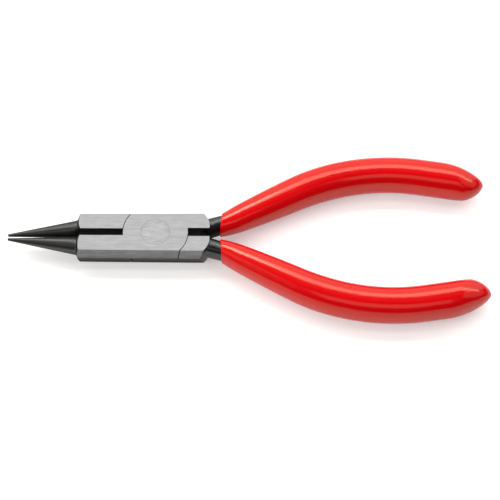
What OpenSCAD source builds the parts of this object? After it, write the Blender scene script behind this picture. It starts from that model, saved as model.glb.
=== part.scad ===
// Round nose pliers with a riveted lap joint and dipped grips.
//
// The pivot axis is Z and crosses the origin at the joint's underside. The jaws
// point along -X and the handles along +X. The right handle is the one on +Y.
// Each forged half runs from a jaw on one side to the handle on the other, and
// the left half is the right half turned over about the joint's middle plane.

/* [Joint] */
// Width across the ground faces of the joint, at the pivot
joint_w = 11.5; // [9:0.1:16]
// Thickness of the joint, from one ground face to the other
joint_t = 6.7; // [5:0.1:10]
// How far each side stands out at its parting line
side_crown = 0.65; // [0:0.05:1]
// Angle that each side opens towards the handles
side_taper = 0.4; // [0:0.1:1.5]
// From the pivot forward to the foot of the jaws
joint_front = 21.3; // [17:0.1:30]
// From the pivot back to the joint's rounded end
joint_back = 14.7; // [13.5:0.1:18]
// Radius of each rounded corner at that end
back_round_r = 5.2; // [4:0.1:6]
// Radius of each half's flat disc in the lap
lap_r = 8.8; // [7.5:0.1:11]
// Gap around that disc
seam_gap = 0.2; // [0.05:0.01:0.3]
// Gap between the two discs
lap_gap = 0.02; // [0.01:0.01:0.1]
// Width of the slot in front of the discs
front_slot = 2.14; // [1:0.02:3]
// Width of the notch behind the discs
back_notch = 2.56; // [1.5:0.02:4]

/* [Rivet] */
// Diameter of the shank
rivet_d = 5; // [3.5:0.1:6]
// Diameter of the flush heads
rivet_head_d = 7.8; // [6.2:0.1:9]
// Depth of each countersunk head
rivet_head_h = 1.3; // [0.8:0.1:2]
// Radial clearance in the half that turns on the rivet
rivet_clearance = 0.03; // [0.01:0.01:0.1]

/* [Jaws] */
// Length of each jaw, from its tip to its foot
jaw_len = 19.2; // [14:0.1:30]
// Radius of the tip
tip_r = 0.38; // [0.24:0.02:1]
// Radius at the foot
foot_r = 2.46; // [1.8:0.02:2.6]
// Gap between the tips in the pose shown
tip_gap = 0.44; // [0.2:0.02:1]
// Half the angle of the conical shoulder behind each jaw
shoulder_angle = 64; // [55:1:80]
// Radius of the fillet between jaw and shoulder
foot_fillet = 0.8; // [0.3:0.1:1.2]
// Size of the broken edge around the tip
tip_break = 0.08; // [0.04:0.02:0.2]

/* [Handles] */
// Distance from the pivot to the start of the neck
neck_x = 14; // [12:0.1:19]
// Distance from the centre line to the middle of the neck
neck_y = 2.9; // [2.9:0.05:4]
// Angle of the neck away from the centre line
neck_angle = 15; // [8:1:20]
// Radius of the bend in the neck
neck_bend_r = 45; // [30:1:80]
// Angle of the straight stretch behind the neck
splay_angle = 27.4; // [22:0.1:33]
// Length of that straight stretch
splay_len = 17; // [10:0.5:24]
// Radius of the bend that fills the palm
palm_bend_r = 56; // [40:1:80]
// Angle at which the handle's end turns back in
tail_angle = 9; // [0:0.5:14]
// Length of the straight end, with the grip's tip
tail_len = 17.8; // [12:0.2:30]
// Width of the bare neck
neck_w = 5.1; // [3:0.1:5.2]
// Thickness of the bare neck
neck_t = 5.7; // [4:0.1:5.8]

/* [Grips] */
// Bare neck in front of each grip
grip_start = 3.9; // [2:0.1:6]
// Turn of each grip's front edge away from square to the handle
edge_tilt = 25; // [0:1:35]
// Width of a grip at its front edge
grip_front_w = 6; // [5.6:0.1:6.6]
// Thickness of a grip at its front edge
grip_front_t = 6.8; // [6.6:0.1:9]
// Width of a grip in the palm
grip_w = 9.2; // [7.6:0.1:11]
// Thickness of a grip in the palm
grip_t = 10; // [8.4:0.1:14]
// Length over which a grip swells from its front edge
grip_swell_len = 35; // [20:1:45]
// Extra width that a grip gains from there to its tip
grip_flare = 0.4; // [0:0.1:2]
// Length over which a grip's outer side curves in to its tip
outer_nose_len = 12; // [8:0.5:18]
// Length over which its inner side curves out to the tip
inner_nose_len = 5.2; // [4:0.1:12]
// Thickness of the plastic over the steel
coat = 1.1; // [0.6:0.05:1.6]
// Plastic beyond the end of the steel
coat_end = 4; // [2:0.5:8]

/* [Hidden] */

$fn = 96;
over = 1;                              // how far a cutter runs past what it cuts
mid_z = joint_t / 2;
half_lap_gap = lap_gap / 2;
sides = 20;                            // corners of a handle's cross-section
squareness = 2.4;                      // 2 is an ellipse, higher is squarer

// The jaws' inner lines are parallel, so each jaw leans by its own taper.
jaw_lean = atan((foot_r - tip_r) / jaw_len);
shoulder_r = joint_w;                  // the shoulder runs out past the joint's corners
shoulder_rise = (shoulder_r - foot_r) / tan(shoulder_angle);
fillet_steps = 6;

// Middle of the rounded corner at each half's back end
back_flat = 0.7;                       // flat end beside the notch
back_round_x = joint_back - back_round_r;
back_round_y = back_notch / 2 + back_flat;

// The neck's root, inside the joint block
root_len = 2.5;
root_inset_y = 0.3;
root_inset_z = 0.4;

// Lengths along the handle's centre line, counted from the start of the neck
neck_len = neck_bend_r * (splay_angle - neck_angle) * PI / 180;
palm_start = neck_len + splay_len;
palm_len = palm_bend_r * (splay_angle + tail_angle) * PI / 180;
tail_start = palm_start + palm_len;
handle_len = tail_start + tail_len;
steel_len = handle_len - coat_end;
lip_len = 0.6;                         // rounding of the grip's front edge
tilt_len = 1.5 * grip_start;           // handle over which the edge's tilt fades out
depth_nose_len = (outer_nose_len + inner_nose_len) / 2;

// ---- The handle's centre line: two bends and two straight stretches

function heading(a) = [cos(a), sin(a)];
function beside(a) = [-sin(a), cos(a)];

function handle_angle(s) =
    s < 0 ? neck_angle
    : s < neck_len ? neck_angle + s / neck_bend_r * 180 / PI
    : s < palm_start ? splay_angle
    : s < tail_start ? splay_angle - (s - palm_start) / palm_bend_r * 180 / PI
    : -tail_angle;

neck_origin = [neck_x, neck_y];
splay_origin = neck_origin + neck_bend_r * (beside(neck_angle) - beside(splay_angle));
palm_origin = splay_origin + splay_len * heading(splay_angle);
tail_origin = palm_origin - palm_bend_r * (beside(splay_angle) - beside(-tail_angle));

function handle_point(s) =
    s < 0 ? neck_origin + s * heading(neck_angle)
    : s < neck_len
        ? neck_origin + neck_bend_r * (beside(neck_angle) - beside(handle_angle(s)))
    : s < palm_start ? splay_origin + (s - neck_len) * heading(splay_angle)
    : s < tail_start
        ? palm_origin - palm_bend_r * (beside(splay_angle) - beside(handle_angle(s)))
    : tail_origin + (s - tail_start) * heading(-tail_angle);

// ---- The handle's cross-section

function blend(a, b, u) = a + (b - a) * u;
function rounded(v) = sign(v) * pow(abs(v), 2 / squareness);

// How full a grip is near its tip, from 1 down to 0 over the given length
function nose_fill(s, nose_len) =
    let (left = max(handle_len - s, 0) / nose_len)
    left >= 1 ? 1 : pow(1 - pow(1 - left, 1.5), 0.58);

function swell(s) =
    let (done = (s - grip_start) / grip_swell_len)
    done <= 0 ? 0 : done >= 1 ? 1 : 1 - pow(1 - done, 2);
function flare(s) = grip_flare * max(0, (s - grip_start - grip_swell_len) / handle_len);
function full_w(s) = blend(grip_front_w, grip_w, swell(s)) + flare(s);
function full_t(s) = blend(grip_front_t, grip_t, swell(s));

// The grip's reach from the centre line, outwards, inwards and up
function outer_reach(s) = full_w(s) / 2 * nose_fill(s, outer_nose_len);
function inner_reach(s) = full_w(s) / 2 * nose_fill(s, inner_nose_len);
function up_reach(s) = full_t(s) / 2 * nose_fill(s, depth_nose_len);

// The cross-sections turn by edge_tilt at the grip's front edge
function ring_angle(s) =
    handle_angle(s) - edge_tilt * max(0, 1 - abs(s - grip_start) / tilt_len);

// One ring of corners across the handle, reaching out, in and up from its line
function ring(c, a, out, in, up) = [
    for (i = [0 : sides - 1])
        let (
            across = (out + in) / 2 * rounded(cos(360 * i / sides)),
            xy = c + ((out - in) / 2 + across) * beside(a)
        )
        [xy[0], xy[1], mid_z + up * rounded(sin(360 * i / sides))]
];

function handle_ring(s, out, in, up) =
    ring(handle_point(s), ring_angle(s), out, in, up);

// The steel: the bare neck, which inside the grip grows to the grip less its coat
function steel_ring(s) = handle_ring(s,
    blend(neck_w / 2, outer_reach(s) - coat, swell(s)),
    blend(neck_w / 2, inner_reach(s) - coat, swell(s)),
    blend(neck_t / 2, up_reach(s) - coat, swell(s)));

function grip_ring(s, shrink = 0) =
    handle_ring(s, outer_reach(s) - shrink, inner_reach(s) - shrink, up_reach(s) - shrink);

// A closed skin through a list of rings. The first `lining` rings run backwards
// along the steel, and their squares are split the way the steel's own are.
module skin(rings, lining = 0) {
    n = len(rings);
    polyhedron(
        points = [for (r = rings) each r],
        faces = concat(
            [[for (i = [0 : sides - 1]) i]],
            [for (k = [0 : n - 2], i = [0 : sides - 1])
                let (a = k * sides + i, b = k * sides + (i + 1) % sides)
                each k < lining - 1
                    ? [[a, a + sides, b + sides], [a, b + sides, b]]
                    : [[a, a + sides, b], [b, a + sides, b + sides]]],
            [[for (i = [sides - 1 : -1 : 0]) (n - 1) * sides + i]]
        ),
        convexity = 6
    );
}

// Places along the steel, on the bare neck and inside the grip
neck_stops = [for (k = [0 : 4]) grip_start * k / 5];
covered_stops = [for (k = [0 : 20]) grip_start + k * (steel_len - grip_start) / 20];

// Places along the outside of a grip, behind its front lip
grip_body_start = grip_start + lip_len;
grip_nose_start = handle_len - outer_nose_len;
grip_stops = [
    for (k = [0 : 20]) grip_body_start + k * (grip_nose_start - grip_body_start) / 20,
    for (u = [0.18, 0.34, 0.48, 0.6, 0.71, 0.81, 0.89, 0.95, 0.99])
        grip_nose_start + u * outer_nose_len
];

// ---- Pieces

// Solid between the sides of the joint, ground flat above and below
module joint_block() {
    reach = joint_front + joint_back + 2 * over;
    intersection_for (side = [0, 1]) {
        mirror([0, side, 0])
            rotate([0, 0, side_taper])
                translate([-joint_front - over, 0, 0])
                    rotate([90, 0, 90])
                        linear_extrude(height = reach)
                            polygon([
                                [-joint_w, 0],
                                [joint_w / 2, 0],
                                [joint_w / 2 + side_crown, mid_z],
                                [joint_w / 2, joint_t],
                                [-joint_w, joint_t]
                            ]);
    }
}

// The part of the block that belongs to a half: its jaw's corner, its handle's
// corner and the disc that laps over the other half
module block_share() {
    translate([-joint_front - over, -joint_w, 0])
        cube([joint_front + over, joint_w - front_slot / 2, joint_t]);
    intersection() {
        translate([0, back_notch / 2, 0])
            cube([joint_back, joint_w, joint_t]);
        union() {
            cube([back_round_x, joint_w, joint_t]);
            translate([back_round_x, back_round_y, 0])
                cylinder(r = back_round_r, h = joint_t);
        }
    }
    translate([0, 0, mid_z + half_lap_gap])
        cylinder(r = lap_r, h = mid_z - half_lap_gap);
}

// Everything inside the jaw's cone, its fillet and its shoulder
module nose() {
    fillet_turn = shoulder_angle - jaw_lean;
    fillet_len = foot_fillet * tan(fillet_turn / 2);
    fillet_x = jaw_len - fillet_len * cos(jaw_lean);
    fillet_y = foot_r - fillet_len * sin(jaw_lean);
    translate([-joint_front - jaw_len * cos(jaw_lean), -tip_gap / 2 - tip_r, mid_z])
        rotate([0, 90, -jaw_lean])
            rotate_extrude()
                polygon(concat(
                    [[0, 0], [tip_r - tip_break, 0], [tip_r, tip_break]],
                    [for (k = [0 : fillet_steps])
                        let (a = jaw_lean + fillet_turn * k / fillet_steps)
                        [fillet_y + foot_fillet * (cos(jaw_lean) - cos(a)),
                         fillet_x + foot_fillet * (sin(a) - sin(jaw_lean))]],
                    [[shoulder_r, jaw_len + shoulder_rise],
                     [shoulder_r, jaw_len + joint_front],
                     [0, jaw_len + joint_front]]
                ));
}

// The neck and the steel inside the grip, rooted in the joint block
module handle_steel() {
    root = [neck_x - root_len, (joint_w + back_notch) / 4];
    reach = (joint_w - back_notch) / 4 - root_inset_y;
    skin(concat(
        [ring(root, 0, reach, reach, mid_z - root_inset_z)],
        [for (s = neck_stops) steel_ring(s)],
        [for (s = covered_stops) steel_ring(s)]
    ));
}

// One forged half, as it lies with its disc on top
module forged_half(clearance) {
    color("silver")
    difference() {
        union() {
            intersection() {
                joint_block();
                block_share();
                union() {
                    nose();
                    translate([-joint_front / 2, -joint_w, -over])
                        cube([joint_front + joint_back, 2 * joint_w, joint_t + 2 * over]);
                }
            }
            intersection() {
                nose();
                translate([-joint_front - jaw_len - over, -joint_w, 0])
                    cube([jaw_len + over, 2 * joint_w, joint_t]);
            }
            handle_steel();
        }
        translate([0, 0, -over])
            cylinder(r = lap_r + seam_gap, h = mid_z + half_lap_gap + over);
        rivet_hole(clearance);
    }
}

// The hole for the rivet, countersunk in the upper ground face
module rivet_hole(clearance) {
    r = rivet_d / 2 + clearance;
    head_r = rivet_head_d / 2 + clearance;
    translate([0, 0, -over])
        cylinder(r = r, h = joint_t + 2 * over);
    translate([0, 0, joint_t - rivet_head_h])
        cylinder(r1 = r, r2 = head_r, h = rivet_head_h);
}

// Turns a right-hand piece over into the left-hand one
module turned_over() {
    translate([0, 0, joint_t])
        rotate([180, 0, 0])
            children();
}

module right_half() {
    forged_half(rivet_clearance);
}

module left_half() {
    turned_over() forged_half(0);
}

module rivet() {
    color("lightgray") {
        cylinder(d = rivet_d, h = joint_t);
        cylinder(d1 = rivet_head_d, d2 = rivet_d, h = rivet_head_h);
        translate([0, 0, joint_t - rivet_head_h])
            cylinder(d1 = rivet_d, d2 = rivet_head_d, h = rivet_head_h);
    }
}

// Plastic skin over the steel, from a rounded front lip to a blunt tip
module dipped_grip() {
    n = len(covered_stops);
    color("red")
    skin(concat(
        [for (k = [n - 1 : -1 : 0]) steel_ring(covered_stops[k])],
        [grip_ring(grip_start, lip_len / 2), grip_ring(grip_start + lip_len / 3, lip_len / 6)],
        [for (s = grip_stops) grip_ring(s)]
    ), lining = n);
}

module right_grip() {
    dipped_grip();
}

module left_grip() {
    turned_over() dipped_grip();
}

right_half();
left_half();
rivet();
right_grip();
left_grip();
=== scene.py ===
# %% [markdown]
# # Round nose pliers
#
# These small pliers bend wire into loops. Two forged halves cross in a lap joint, a
# flush rivet holds them together, and each handle is dipped in glossy red plastic.
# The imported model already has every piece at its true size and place. This script
# keeps it as a fixed frame and gives each piece the surface that the real one has:
# ground steel, black oxide and soft shiny plastic.

# %% Load the frame
import math

import bmesh
import bpy
from mathutils import Matrix, Vector


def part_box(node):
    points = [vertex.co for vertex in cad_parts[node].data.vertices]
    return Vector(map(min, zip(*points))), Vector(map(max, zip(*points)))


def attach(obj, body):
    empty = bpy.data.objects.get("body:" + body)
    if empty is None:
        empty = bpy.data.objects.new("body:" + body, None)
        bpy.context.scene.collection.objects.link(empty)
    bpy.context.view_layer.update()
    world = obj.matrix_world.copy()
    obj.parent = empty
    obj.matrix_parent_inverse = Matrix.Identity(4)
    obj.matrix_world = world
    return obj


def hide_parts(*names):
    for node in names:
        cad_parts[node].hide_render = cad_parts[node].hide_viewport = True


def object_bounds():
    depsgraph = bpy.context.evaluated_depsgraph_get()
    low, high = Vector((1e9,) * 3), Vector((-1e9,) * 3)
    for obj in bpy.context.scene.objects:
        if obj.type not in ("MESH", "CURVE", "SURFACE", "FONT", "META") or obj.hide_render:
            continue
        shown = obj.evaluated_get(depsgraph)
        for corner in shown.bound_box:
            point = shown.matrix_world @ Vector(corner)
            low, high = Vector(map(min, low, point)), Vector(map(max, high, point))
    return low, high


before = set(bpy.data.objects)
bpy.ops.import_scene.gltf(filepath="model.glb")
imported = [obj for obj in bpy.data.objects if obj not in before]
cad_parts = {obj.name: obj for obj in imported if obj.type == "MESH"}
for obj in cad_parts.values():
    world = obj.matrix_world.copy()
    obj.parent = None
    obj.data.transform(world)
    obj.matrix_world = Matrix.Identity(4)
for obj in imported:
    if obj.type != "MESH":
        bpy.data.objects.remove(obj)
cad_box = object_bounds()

MM = 0.001

# %% [markdown]
# ## Heights that everything else is measured from
#
# The joint is ground flat above and below, and the rivet is as tall as the joint is
# thick, so its box gives both faces. The grips are fatter than the joint: the pliers
# lie on them, and the joint floats a little above the table.

# %% Read the heights from the frame
rivet_low, rivet_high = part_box("rivet")
joint_underside = rivet_low.z
joint_top = rivet_high.z
mid_height = (joint_underside + joint_top) / 2
table_height = cad_box[0].z
print(f"joint {(joint_top - joint_underside) / MM:.2f} mm thick, "
      f"table {(joint_underside - table_height) / MM:.2f} mm below it")

# %% [markdown]
# ## The camera
#
# The pliers are seen from 60 degrees above the table, through a long lens, so their
# two sides hardly differ in size. The object can't be turned, because the frame is
# fixed. It lies a quarter of a degree askew to the view, so the camera is turned
# round the rivet by that much the other way.

# %% Place the camera
camera_elevation = math.radians(60.2)
camera_distance = 450 * MM
film_width, long_lens = 36, 119.3      # millimetres, as a camera's maker gives them
view_turn = math.radians(0.24)
view_target = Vector((25.65 * MM, -3.77 * MM, mid_height))

camera_data = bpy.data.cameras.new("camera")
camera_data.sensor_width = film_width
camera_data.lens = long_lens
camera_data.clip_start = 0.02
camera_data.clip_end = 20
camera = bpy.data.objects.new("camera", camera_data)
bpy.context.scene.collection.objects.link(camera)
camera_offset = Vector((
    0, -camera_distance * math.cos(camera_elevation), camera_distance * math.sin(camera_elevation)
))
camera.matrix_world = (
    Matrix.Rotation(view_turn, 4, "Z")
    @ Matrix.Translation(view_target + camera_offset)
    @ Matrix.Rotation(math.pi / 2 - camera_elevation, 4, "X")
)
bpy.context.scene.camera = camera
print("camera at", [round(v / MM) for v in camera.matrix_world.translation], "mm")

# %% [markdown]
# ## Numbers that flow through a node tree
#
# Node trees are sums. Written as nodes and links, a sum of five terms takes twenty
# lines, so a small class stands for one number in a tree and makes a Math node each
# time it is added, multiplied or raised to a power. The trees below then read like
# the formulas that they are.

# %% Write node sums as ordinary sums
class Number:
    """One number in a node tree."""

    def __init__(self, tree, socket):
        self.tree = tree
        self.socket = socket

    def wire(self, target):
        self.tree.links.new(self.socket, target)

    def math(self, operation, *others, clamp=False):
        node = self.tree.nodes.new("ShaderNodeMath")
        node.operation = operation
        node.use_clamp = clamp
        for target, value in zip(node.inputs, (self, *others)):
            feed(value, target)
        return Number(self.tree, node.outputs[0])

    def __add__(self, other):
        return self.math("ADD", other)

    def __sub__(self, other):
        return self.math("SUBTRACT", other)

    def __mul__(self, other):
        return self.math("MULTIPLY", other)

    def __truediv__(self, other):
        return self.math("DIVIDE", other)

    def __rsub__(self, other):
        return (self * -1) + other

    def __rtruediv__(self, other):
        return self.power(-1) * other

    __radd__ = __add__
    __rmul__ = __mul__

    def power(self, exponent):
        return self.math("POWER", exponent)

    def clamped(self):
        return self.math("ADD", 0, clamp=True)


def feed(value, target):
    """Links a Number to a socket, or sets a plain value on it."""
    if isinstance(value, Number):
        value.wire(target)
    else:
        target.default_value = value


def blended(low, high, share):
    return low + (high - low) * share


print("node sums ready")

# %% [markdown]
# ## The line that a handle follows
#
# A handle is forged from a bar: it bends outwards at the neck, runs straight for a
# while, curves round to fill the palm and ends in a short straight tail. Two arcs
# and two straights describe that exactly, so the line is drawn as a chain of short
# steps, each turning by the right amount.

# %% Draw the handle's centre line
neck_origin = Vector((14 * MM, 2.9 * MM))
neck_angle, splay_angle, tail_angle = (math.radians(a) for a in (15, 27.4, -9))
neck_bend_r = 45 * MM
splay_len = 17 * MM
palm_bend_r = 56 * MM
tail_len = 17.8 * MM

neck_len = neck_bend_r * (splay_angle - neck_angle)
palm_start = neck_len + splay_len
palm_len = palm_bend_r * (splay_angle - tail_angle)
handle_len = palm_start + palm_len + tail_len
line_step = 0.25 * MM


def handle_angle(distance):
    """The handle's direction in the plane, at a distance from the start of the neck."""
    if distance < neck_len:
        return neck_angle + distance / neck_bend_r
    if distance < palm_start:
        return splay_angle
    return max(tail_angle, splay_angle - (distance - palm_start) / palm_bend_r)


def handle_line(side):
    """Points along the handle on one side: +1 is the right handle, -1 the left."""
    steps = round(handle_len / line_step)
    step = handle_len / steps
    place = neck_origin.copy()
    points = [(place.x, side * place.y, mid_height)]
    for k in range(steps):
        angle = handle_angle((k + 0.5) * step)
        place = place + step * Vector((math.cos(angle), math.sin(angle)))
        points.append((place.x, side * place.y, mid_height))
    return points


def line_object(name, points):
    curve = bpy.data.curves.new(name, "CURVE")
    curve.dimensions = "3D"
    spline = curve.splines.new("POLY")
    spline.points.add(len(points) - 1)
    for point, place in zip(spline.points, points):
        point.co = (*place, 1)
    line = bpy.data.objects.new(name, curve)
    bpy.context.scene.collection.objects.link(line)
    return line


print(f"handle line {handle_len / MM:.1f} mm long")

# %% [markdown]
# ## Glossy red plastic
#
# The grips are dipped in soft vinyl. It is an even, saturated red with a smooth skin,
# and what makes it look real is the reflection: a little softened, and not perfectly
# straight, because a dipped skin is never quite even. Slow noise moves the colour
# and the roughness by a few hundredths, and a very shallow bump bends the highlight.

# %% Make the red plastic
def new_material(name):
    """A material with a Principled shader, and its tree, shader and object coordinates."""
    material = bpy.data.materials.new(name)
    material.use_nodes = True
    tree = material.node_tree
    shader = tree.nodes["Principled BSDF"]
    coordinates = tree.nodes.new("ShaderNodeTexCoord").outputs["Object"]
    return material, tree, shader, coordinates


def noise(tree, coordinates, scale, detail=3, stretch=(1, 1, 1)):
    """Noise from 0 to 1 on the object's own coordinates, in patterns per metre."""
    mapping = tree.nodes.new("ShaderNodeMapping")
    mapping.inputs["Scale"].default_value = stretch
    tree.links.new(coordinates, mapping.inputs["Vector"])
    node = tree.nodes.new("ShaderNodeTexNoise")
    node.inputs["Scale"].default_value = scale
    node.inputs["Detail"].default_value = detail
    tree.links.new(mapping.outputs[0], node.inputs["Vector"])
    return Number(tree, node.outputs["Fac"])


def mixed_colour(tree, share, low, high):
    """A colour between low and high."""
    node = tree.nodes.new("ShaderNodeMix")
    node.data_type = "RGBA"
    node.inputs["A"].default_value = (*low, 1)
    node.inputs["B"].default_value = (*high, 1)
    share.wire(node.inputs["Factor"])
    return Number(tree, node.outputs["Result"])


def add_bump(tree, shader, height, depth):
    """Lets a height from 0 to 1 dent the surface by at most that depth in metres."""
    bump = tree.nodes.new("ShaderNodeBump")
    bump.inputs["Distance"].default_value = depth
    height.wire(bump.inputs["Height"])
    tree.links.new(bump.outputs[0], shader.inputs["Normal"])


def make_red_plastic():
    material, tree, shader, coordinates = new_material("red_dipped_plastic")
    cloud = noise(tree, coordinates, 90, detail=2)
    skin = noise(tree, coordinates, 420, detail=3)
    ripple = noise(tree, coordinates, 150, detail=1)
    mixed_colour(tree, cloud, (0.53, 0.001, 0.003), (0.60, 0.002, 0.005)).wire(
        shader.inputs["Base Color"]
    )
    blended(0.12, 0.18, skin).wire(shader.inputs["Roughness"])
    shader.inputs["IOR"].default_value = 1.42
    shader.inputs["Specular Tint"].default_value = (1.0, 0.95, 0.66, 1)
    add_bump(tree, shader, ripple * 0.7 + skin * 0.3, 0.02 * MM)
    return material


red_plastic = make_red_plastic()
print("made", red_plastic.name)

# %% [markdown]
# ## The grips: a skin swept along the handle
#
# A dipped grip is a skin that follows the handle: narrow in front, full in the palm
# and rounded off at the tip, with a hollow inside where the steel is. Its shape is
# one rule with a dozen sizes, which is just what Geometry Nodes are for. The tree
# takes a flat grid and wraps it round the handle's line. Along the grid, it first
# runs forwards inside the plastic, turns over the front lip and comes back along
# the outside to the tip. Across the grid, it goes once round the oval section.

# %% Build the grip's node tree
GRIP_SIZES = {                      # metres, apart from the angle and the two plain numbers
    "Front": 3.9 * MM,              # bare neck in front of the plastic
    "Handle Length": handle_len,
    "Neck Width": 5.1 * MM,
    "Neck Thickness": 5.7 * MM,
    "Front Width": 6.0 * MM,
    "Front Thickness": 6.8 * MM,
    "Palm Width": 9.2 * MM,
    "Palm Thickness": 10 * MM,
    "Swell Length": 35 * MM,
    "Flare": 0.4 * MM,
    "Outer Nose": 12 * MM,
    "Inner Nose": 5.2 * MM,
    "Coat": 1.1 * MM,
    "Coat End": 4 * MM,
    "Lip Radius": 0.3 * MM,
    "Edge Tilt": math.radians(25),
    "Squareness": 2.4,
    "Side": 1.0,
}
GRIP_ROWS = 260
GRIP_COLUMNS = 73
seam_width = 0.001 * MM


def grip_tree():
    tree = bpy.data.node_groups.new("dipped grip", "GeometryNodeTree")
    tree.interface.new_socket("Line", in_out="INPUT", socket_type="NodeSocketGeometry")
    tree.interface.new_socket("Material", in_out="INPUT", socket_type="NodeSocketMaterial")
    tree.interface.new_socket("Grip", in_out="OUTPUT", socket_type="NodeSocketGeometry")
    for name, value in GRIP_SIZES.items():
        socket = tree.interface.new_socket(name, in_out="INPUT", socket_type="NodeSocketFloat")
        socket.default_value = value
    given = tree.nodes.new("NodeGroupInput").outputs
    size = {name: Number(tree, given[name]) for name in GRIP_SIZES}

    # The flat grid, with `along` and `across` both running from 0 to 1
    grid = tree.nodes.new("GeometryNodeMeshGrid")
    grid.inputs["Size X"].default_value = 1
    grid.inputs["Size Y"].default_value = 1
    grid.inputs["Vertices X"].default_value = GRIP_ROWS
    grid.inputs["Vertices Y"].default_value = GRIP_COLUMNS
    place = tree.nodes.new("ShaderNodeSeparateXYZ")
    tree.links.new(tree.nodes.new("GeometryNodeInputPosition").outputs[0], place.inputs[0])
    along = Number(tree, place.outputs["X"]) + 0.5
    across = Number(tree, place.outputs["Y"]) + 0.5

    # Shares of the grid for the lining, the lip and the outside
    lining_share = 0.2
    lip_share = 0.045
    lining = 1 - (along / lining_share).clamped()
    lip_turn = ((along - lining_share) / lip_share).clamped() * math.pi
    outside = ((along - lining_share - lip_share) / (1 - lining_share - lip_share)).clamped()
    lift = (1 - lip_turn.math("COSINE")) * 0.5
    tip_ease = 1 - (1 - outside).power(2)

    # How far along the handle each row lies
    front = size["Front"]
    lip = size["Lip Radius"]
    steel_end = size["Handle Length"] - size["Coat End"]
    s = (
        front + lip - lip * lip_turn.math("SINE")
        + lining * (steel_end - front - lip)
        + tip_ease * (size["Handle Length"] - front - lip)
    )

    # Width and thickness there, as the plastic swells into the palm
    swell = 1 - (1 - ((s - front) / size["Swell Length"]).clamped()).power(2)
    flare = size["Flare"] * ((s - front - size["Swell Length"]) / size["Handle Length"]).clamped()
    width = blended(size["Front Width"], size["Palm Width"], swell) + flare
    thickness = blended(size["Front Thickness"], size["Palm Thickness"], swell)

    nose_taper = 1.5
    nose_roundness = 0.58

    def nose(length):
        """How full the grip is near its tip: 1 along the grip and 0 at its end."""
        left = ((size["Handle Length"] - s) / length).clamped()
        return (1 - (1 - left).power(nose_taper)).power(nose_roundness)

    def reach(full, neck, nose_length):
        """From the handle's line to this row: on the steel, on the plastic or between."""
        plastic = full * 0.5 * nose(nose_length)
        steel = blended(neck * 0.5, plastic - size["Coat"], swell)
        return blended(steel, plastic, lift) * (along * (GRIP_ROWS - 1)).clamped()

    depth_nose = (size["Outer Nose"] + size["Inner Nose"]) * 0.5
    outwards = reach(width, size["Neck Width"], size["Outer Nose"])
    inwards = reach(width, size["Neck Width"], size["Inner Nose"])
    upwards = reach(thickness, size["Neck Thickness"], depth_nose)

    # The section: a superellipse, a little squarer than an oval
    turn = across * (2 * math.pi)

    def rounded(value):
        return value.math("SIGN") * value.math("ABSOLUTE").power(2 / size["Squareness"])

    middle = (outwards - inwards) * 0.5
    half_width = (outwards + inwards) * 0.5
    sideways = middle + half_width * rounded(turn.math("COSINE"))
    height = upwards * rounded(turn.math("SINE"))

    # The place of each point, square to the line apart from the tilt of the front edge
    sample = tree.nodes.new("GeometryNodeSampleCurve")
    sample.mode = "LENGTH"
    tree.links.new(given["Line"], sample.inputs["Curves"])
    s.wire(sample.inputs["Length"])
    centre = tree.nodes.new("ShaderNodeSeparateXYZ")
    tree.links.new(sample.outputs["Position"], centre.inputs[0])
    tangent = tree.nodes.new("ShaderNodeSeparateXYZ")
    tree.links.new(sample.outputs["Tangent"], tangent.inputs[0])
    heading = Number(tree, tangent.outputs["Y"]).math("ARCTAN2", Number(tree, tangent.outputs["X"]))
    tilt = size["Edge Tilt"] * (1 - (s - front).math("ABSOLUTE") / (front * 1.5)).clamped()
    facing = heading - size["Side"] * tilt
    point = tree.nodes.new("ShaderNodeCombineXYZ")
    (Number(tree, centre.outputs["X"]) - size["Side"] * sideways * facing.math("SINE")).wire(
        point.inputs["X"]
    )
    (Number(tree, centre.outputs["Y"]) + size["Side"] * sideways * facing.math("COSINE")).wire(
        point.inputs["Y"]
    )
    (Number(tree, centre.outputs["Z"]) + height).wire(point.inputs["Z"])

    # Wrap the grid, close its seam and both ends, and finish it
    wrapped = tree.nodes.new("GeometryNodeSetPosition")
    tree.links.new(grid.outputs["Mesh"], wrapped.inputs["Geometry"])
    tree.links.new(point.outputs[0], wrapped.inputs["Position"])
    closed = tree.nodes.new("GeometryNodeMergeByDistance")
    closed.inputs["Distance"].default_value = seam_width
    tree.links.new(wrapped.outputs[0], closed.inputs["Geometry"])
    realized = tree.nodes.new("GeometryNodeRealizeInstances")
    tree.links.new(closed.outputs[0], realized.inputs[0])
    dressed = tree.nodes.new("GeometryNodeSetMaterial")
    tree.links.new(realized.outputs[0], dressed.inputs["Geometry"])
    tree.links.new(given["Material"], dressed.inputs["Material"])
    result = tree.nodes.new("NodeGroupOutput")
    tree.links.new(dressed.outputs[0], result.inputs["Grip"])
    return tree


grip_nodes = grip_tree()
print(len(grip_nodes.nodes), "nodes in the grip's tree")

# %% [markdown]
# ## Two grips from one tree
#
# The same tree makes both grips. The left line is the right one mirrored, and the
# `Side` input turns its outside the same way. A mirrored grid comes out with its
# faces pointing inwards, so the normals are worked out again on the finished mesh.

# %% Make both grips
def set_inputs(modifier, values):
    """Sets a Geometry Nodes modifier's inputs by their sockets' identifiers."""
    for item in modifier.node_group.interface.items_tree:
        if item.item_type == "SOCKET" and item.in_out == "INPUT" and item.name in values:
            modifier[item.identifier] = values[item.name]


def plain_mesh(maker, name):
    """The evaluated mesh of an object, as a new object of its own. The maker is removed."""
    shown = maker.evaluated_get(bpy.context.evaluated_depsgraph_get())
    mesh = bpy.data.meshes.new_from_object(shown)
    mesh.name = name
    bpy.data.objects.remove(maker)
    piece = bpy.data.objects.new(name, mesh)
    bpy.context.scene.collection.objects.link(piece)
    return piece


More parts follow.
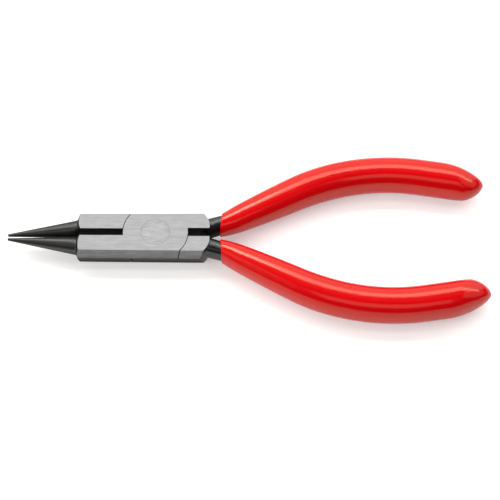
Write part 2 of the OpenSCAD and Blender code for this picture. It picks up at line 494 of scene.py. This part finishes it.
def make_grip(name, side):
    maker = line_object(name + "_line", handle_line(side))
    modifier = maker.modifiers.new("grip", "NODES")
    modifier.node_group = grip_nodes
    set_inputs(modifier, {"Side": float(side), "Material": red_plastic})
    grip = plain_mesh(maker, name)
    bm = bmesh.new()
    bm.from_mesh(grip.data)
    bmesh.ops.recalc_face_normals(bm, faces=bm.faces)
    for face in bm.faces:
        face.smooth = True
    open_edges = sum(1 for edge in bm.edges if len(edge.link_faces) != 2)
    bm.to_mesh(grip.data)
    bm.free()
    print(name, len(grip.data.polygons), "faces,", open_edges, "open edges")
    return grip


for name, side, node, body in (
    ("right_dipped_grip", 1, "right_grip", "right_side"),
    ("left_dipped_grip", -1, "left_grip", "left_side"),
):
    grip = make_grip(name, side)
    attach(grip, body)
    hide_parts(node)

# %% [markdown]
# ## Six finishes on one tool
#
# A half is forged, blackened all over and then ground: the flats and the sides of
# the joint come out bright, and the rest stays black. All of it is metal, so the
# finishes differ only in how pale, how rough and how scratched they are. The flats
# are pale and matt, with fine lines along the tool. The rivet was ground by hand, in
# wavy strokes. The sides are smoother, and their steel is painted darker than the
# flats' as shade from the shadowed table below them, with more painted shade towards
# their lower edge. The black is oxide: polished on the jaws, half glossy on the
# necks, and dull in the slots, where no wheel gets in.

# %% Make the steels
scratch_depth = 0.012 * MM
oxide_grain_depth = 0.006 * MM
cloud_share = 0.25
# How far the sides' painted shade dims their mirror at a glancing angle.
painted_shade_glance_dimming = 0.6


def make_ground_steel(name, dark, bright, smoothest, roughest, strokes=0.25, painted_shade=0):
    """Steel ground along the tool, with brush lines and wider polishing strokes.

    The strokes have their own share of the pattern. The last argument is the share of
    the colour that painted shade takes away at the lower edge, and it dims the mirror
    at a glancing angle as well.
    """
    material, tree, shader, coordinates = new_material(name)
    cloud = noise(tree, coordinates, 300, detail=4)
    lines = noise(tree, coordinates, 3200, detail=3, stretch=(0.07, 1, 1))
    swirl = noise(tree, coordinates, 1400, detail=2, stretch=(0.3, 1, 1))
    tone = cloud * cloud_share + lines * (1 - cloud_share - strokes) + swirl * strokes
    place = tree.nodes.new("ShaderNodeSeparateXYZ")
    tree.links.new(coordinates, place.inputs[0])
    rise = (Number(tree, place.outputs["Z"]) - joint_underside) / (joint_top - joint_underside)
    # Painted shade: the colour darkens towards the lower edge, standing in for the shadowed table
    # that the sides face.
    painted_shade_factor = 1 - painted_shade * (1 - rise.clamped()).power(2)
    mixed_colour(tree, tone * painted_shade_factor, dark, bright).wire(shader.inputs["Base Color"])
    blended(smoothest, roughest, tone).wire(shader.inputs["Roughness"])
    shader.inputs["Metallic"].default_value = 1
    # Painted shade dims the mirror at a glancing angle too.
    glance = 1 - painted_shade_glance_dimming * painted_shade
    shader.inputs["Specular Tint"].default_value = (glance, glance, glance, 1)
    add_bump(tree, shader, lines * 0.6 + swirl * (2 * strokes), scratch_depth)
    return material


def make_black_oxide(name, dark, bright, smoothest, roughest, glance=1):
    """Black oxide on steel, with the share of its mirror that is left at a glancing angle."""
    material, tree, shader, coordinates = new_material(name)
    cloud = noise(tree, coordinates, 350, detail=4)
    grain = noise(tree, coordinates, 2200, detail=3)
    mixed_colour(tree, cloud, dark, bright).wire(shader.inputs["Base Color"])
    blended(smoothest, roughest, grain).wire(shader.inputs["Roughness"])
    shader.inputs["Metallic"].default_value = 1
    shader.inputs["Specular Tint"].default_value = (glance, glance, glance, 1)
    add_bump(tree, shader, grain, oxide_grain_depth)
    return material


flat_steel = make_ground_steel(
    "ground_flats", (0.17, 0.17, 0.172), (0.51, 0.51, 0.513), 0.54, 0.70
)
rivet_steel = make_ground_steel(
    "ground_rivet", (0.11, 0.11, 0.111), (0.55, 0.55, 0.553), 0.52, 0.68, strokes=0.6
)
# The sides' steel is painted darker than the flats' as shade from the shadowed table, with more
# painted shade towards the lower edge.
side_steel = make_ground_steel(
    "ground_sides", (0.02, 0.02, 0.021), (0.27, 0.27, 0.273), 0.18, 0.32, painted_shade=0.85
)
polished_oxide = make_black_oxide(
    "polished_oxide", (0.064, 0.063, 0.062), (0.092, 0.091, 0.089), 0.34, 0.48, glance=0.45
)
neck_oxide = make_black_oxide(
    "neck_oxide", (0.046, 0.046, 0.046), (0.074, 0.074, 0.074), 0.24, 0.38
)
raw_oxide = make_black_oxide("raw_oxide", (0.016, 0.016, 0.016), (0.028, 0.028, 0.028), 0.5, 0.7)
steels = (flat_steel, rivet_steel, side_steel, polished_oxide, neck_oxide, raw_oxide)
print("made", [material.name for material in steels])

# %% [markdown]
# ## The forged halves
#
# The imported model's halves are exact, but their edges are knife sharp and their
# faces are loose triangles. A copy of each is merged back into whole faces, each
# face gets the finish that it has on the real tool, and a narrow bevel breaks every
# edge, so that edges catch the light as ground steel does.

# %% Sort the faces by their finish
flat_depth = 0.02 * MM
level_normal, side_normal, wall_normal = 0.99, 0.96, 0.9
joint_side_y = 5 * MM
joint_front_x = -22 * MM
joint_back_x = 12.5 * MM
slot_side_y = 1.5 * MM
recess_end_x = 24 * MM


def is_flat(face):
    """True on the joint's ground upper and lower faces."""
    height = face.calc_center_median().z
    return abs(face.normal.z) > level_normal and (
        abs(height - joint_underside) < flat_depth or abs(height - joint_top) < flat_depth
    )


def is_side(face):
    """True on the joint's ground sides."""
    centre = face.calc_center_median()
    return (
        abs(face.normal.y) > side_normal
        and abs(centre.y) > joint_side_y
        and joint_front_x < centre.x < joint_back_x
    )


def is_hidden(face):
    """True in the slots and between the necks, where no polishing wheel gets in."""
    centre = face.calc_center_median()
    faces_inwards = face.normal.y * centre.y < 0 and abs(face.normal.z) < wall_normal
    in_front_slot = joint_front_x < centre.x < 0 and abs(centre.y) < slot_side_y
    between_necks = 0 < centre.x < recess_end_x
    return faces_inwards and (in_front_slot or between_necks)


def finish_of(face, ground):
    """The face's material, with the given one on the flats."""
    if is_flat(face):
        return ground
    if is_side(face):
        return side_steel
    if is_hidden(face):
        return raw_oxide
    return neck_oxide if face.calc_center_median().x > 0 else polished_oxide


print("flats at", round(joint_underside / MM, 2), "and", round(joint_top / MM, 2), "mm")

# %% [markdown]
# ## Breaking the edges
#
# A Bevel modifier breaks the edges that are marked here: every sharp one, and the low
# ridge along the joint's sides, which is too blunt for a rule by angle alone, since
# the rounded neck has facets as blunt. Weighted normals then keep the big faces
# flat, and leave the bending of the light to the narrow bevels.

# %% Copy a node with whole faces and broken edges
sharp_angle = math.radians(30)
ridge_angle = math.radians(6)
one_plane_angle = math.radians(0.3)
merge_distance = 0.0005 * MM


def is_broken(edge):
    """True for an edge that the grinding wheel or the tumbler has broken."""
    if len(edge.link_faces) != 2:
        return False
    angle = edge.calc_face_angle()
    ridge = all(is_side(face) for face in edge.link_faces) and angle > ridge_angle
    return ridge or angle > sharp_angle


def steel_piece(name, node, body, edge_break, ground):
    """A copy of a steel node with its ground faces finished and its edges broken."""
    bm = bmesh.new()
    bm.from_mesh(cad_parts[node].data)
    bmesh.ops.remove_doubles(bm, verts=bm.verts, dist=merge_distance)
    bmesh.ops.dissolve_limit(
        bm,
        angle_limit=one_plane_angle,
        verts=bm.verts,
        edges=bm.edges,
        use_dissolve_boundaries=False,
    )
    bm.normal_update()
    weight = bm.edges.layers.float.new("bevel_weight_edge")
    for edge in bm.edges:
        edge[weight] = 1.0 if is_broken(edge) else 0.0
    for face in bm.faces:
        face.smooth = True
        face.material_index = steels.index(finish_of(face, ground))
    mesh = bpy.data.meshes.new(name)
    bm.to_mesh(mesh)
    bm.free()
    for material in steels:
        mesh.materials.append(material)
    piece = bpy.data.objects.new(name, mesh)
    bpy.context.scene.collection.objects.link(piece)
    bevel = piece.modifiers.new("broken edges", "BEVEL")
    bevel.width = edge_break
    bevel.segments = 2
    bevel.limit_method = "WEIGHT"
    normals = piece.modifiers.new("flat faces", "WEIGHTED_NORMAL")
    normals.mode = "FACE_AREA"
    normals.weight = 100
    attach(piece, body)
    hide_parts(node)
    print(name, len(mesh.polygons), "whole faces")


half_edge_break = 0.1 * MM
for side, body in (("right", "right_side"), ("left", "left_side")):
    steel_piece(
        side + "_forged_half", side + "_half", body, half_edge_break, flat_steel
    )

# %% [markdown]
# ## The rivet
#
# The rivet is peened into its countersinks and ground flush with the joint, so only
# a faint ring shows where the two metals meet. A copy of its mesh gets a narrow
# bevel of its own, and the groove between the two bevels is that ring. Its two ends
# count as flats, so they get the wavy strokes.

# %% Dress the rivet
rivet_edge_break = 0.03 * MM
steel_piece("flush_rivet", "rivet", "left_side", rivet_edge_break, rivet_steel)

# %% [markdown]
# ## The table
#
# The pliers lie on white paper. The paper has to look pure white, yet keep the soft
# shadow under the tool, and more lamplight would only burn out the steel. So part of
# its white is its own glow, which only the camera, mirrors and glass can see, and
# the rest is plain white paint that takes the shadow. The lamps don't reach far, so
# the glow grows with the distance, and the paper stays white up to its horizon.

# %% Lay the table
table_reach = 8.0
near_glow = 0.28
lamp_reach = 0.5


def make_paper():
    material, tree, shader, coordinates = new_material("white_paper")
    fibre = noise(tree, coordinates, 300, detail=3)
    mixed_colour(tree, fibre, (0.79, 0.78, 0.76), (0.81, 0.80, 0.78)).wire(
        shader.inputs["Base Color"]
    )
    shader.inputs["Roughness"].default_value = 0.9
    shader.inputs["Specular IOR Level"].default_value = 0
    light_path = tree.nodes.new("ShaderNodeLightPath").outputs
    seen = (
        Number(tree, light_path["Is Camera Ray"])
        + Number(tree, light_path["Is Glossy Ray"])
        + Number(tree, light_path["Is Transmission Ray"])
    ).clamped()
    from_tool = tree.nodes.new("ShaderNodeVectorMath")
    from_tool.operation = "LENGTH"
    tree.links.new(coordinates, from_tool.inputs[0])
    unlit = ((Number(tree, from_tool.outputs["Value"]) - lamp_reach) / lamp_reach).clamped()
    shader.inputs["Emission Color"].default_value = (1, 1, 1, 1)
    (seen * blended(near_glow, 1.0, unlit)).wire(shader.inputs["Emission Strength"])
    return material


def make_table():
    mesh = bpy.data.meshes.new("table")
    corners = ((-1, -1), (1, -1), (1, 1), (-1, 1))
    mesh.from_pydata(
        [(x * table_reach, y * table_reach, table_height) for x, y in corners], [], [(0, 1, 2, 3)]
    )
    mesh.materials.append(make_paper())
    table = bpy.data.objects.new("table", mesh)
    bpy.context.scene.collection.objects.link(table)
    return table


print("made", make_table().name)

# %% [markdown]
# ## The light
#
# A long soft box hangs behind the tool, a little past overhead, and draws the wide
# bright band along each grip. A short brighter lamp in front of it leaves the hot
# spot where the grips begin. A dimmer panel carries on from the box towards the back
# wall, and a broad box above the camera draws the faint second line. Two fills light
# the paper and the steel but show in no mirror, so they draw no lines of their own.
# A dim panel beyond each end of the tool gives the steel something to reflect when
# it is seen from its jaws or its grips. The room itself is dim, which gives the red
# its depth between the bands.

# %% Hang the lamps
def soft_box(name, angle, span, distance, length, radiance, shift=0, azimuth=0, mirrored=True):
    """A rectangular lamp turned to the tool, with its angle from overhead to the back.

    The azimuth swings it round the tool, and the shift slides it along its own length.
    """
    depth = 2 * distance * math.tan(math.radians(span) / 2)
    lamp = bpy.data.lights.new(name, "AREA")
    lamp.shape = "RECTANGLE"
    lamp.size = length
    lamp.size_y = depth
    lamp.energy = radiance * math.pi * length * depth
    holder = bpy.data.objects.new(name, lamp)
    holder.matrix_world = (
        Matrix.Translation((view_target.x, 0, 0))
        @ Matrix.Rotation(math.radians(azimuth), 4, "Z")
        @ Matrix.Rotation(math.radians(-angle), 4, "X")
        @ Matrix.Translation((shift, 0, distance))
    )
    holder.visible_camera = False
    holder.visible_glossy = mirrored
    bpy.context.scene.collection.objects.link(holder)
    return holder


lamps = [  # name, angle, span, distance, length, radiance
    soft_box("main_box", 30.5, 13, 0.9, 2.6, 5.6),
    soft_box("main_box_centre", 31, 8, 0.88, 0.2, 10.0, shift=-0.16),
    soft_box("back_panel", 58.5, 43, 0.9, 2.6, 1.6),
    soft_box("front_strip", -35, 28, 0.8, 0.6, 1.2),
    soft_box("left_fill", -60, 35, 1.2, 0.75, 4.2, azimuth=-60, mirrored=False),
    soft_box("top_fill", 8, 12, 1.2, 3.0, 2.0, mirrored=False),
    soft_box("jaw_end_panel", 50, 45, 1.2, 1.0, 0.8, azimuth=90),
    soft_box("grip_end_panel", 50, 45, 1.2, 1.0, 0.8, azimuth=-90),
]
room_light = 0.03
world = bpy.data.worlds.new("dim_room")
world.use_nodes = True
world.node_tree.nodes["Background"].inputs["Color"].default_value = (1, 1, 1, 1)
world.node_tree.nodes["Background"].inputs["Strength"].default_value = room_light
bpy.context.scene.world = world
bpy.context.scene.view_settings.view_transform = "Standard"
print("lamps:", [lamp.name for lamp in lamps])
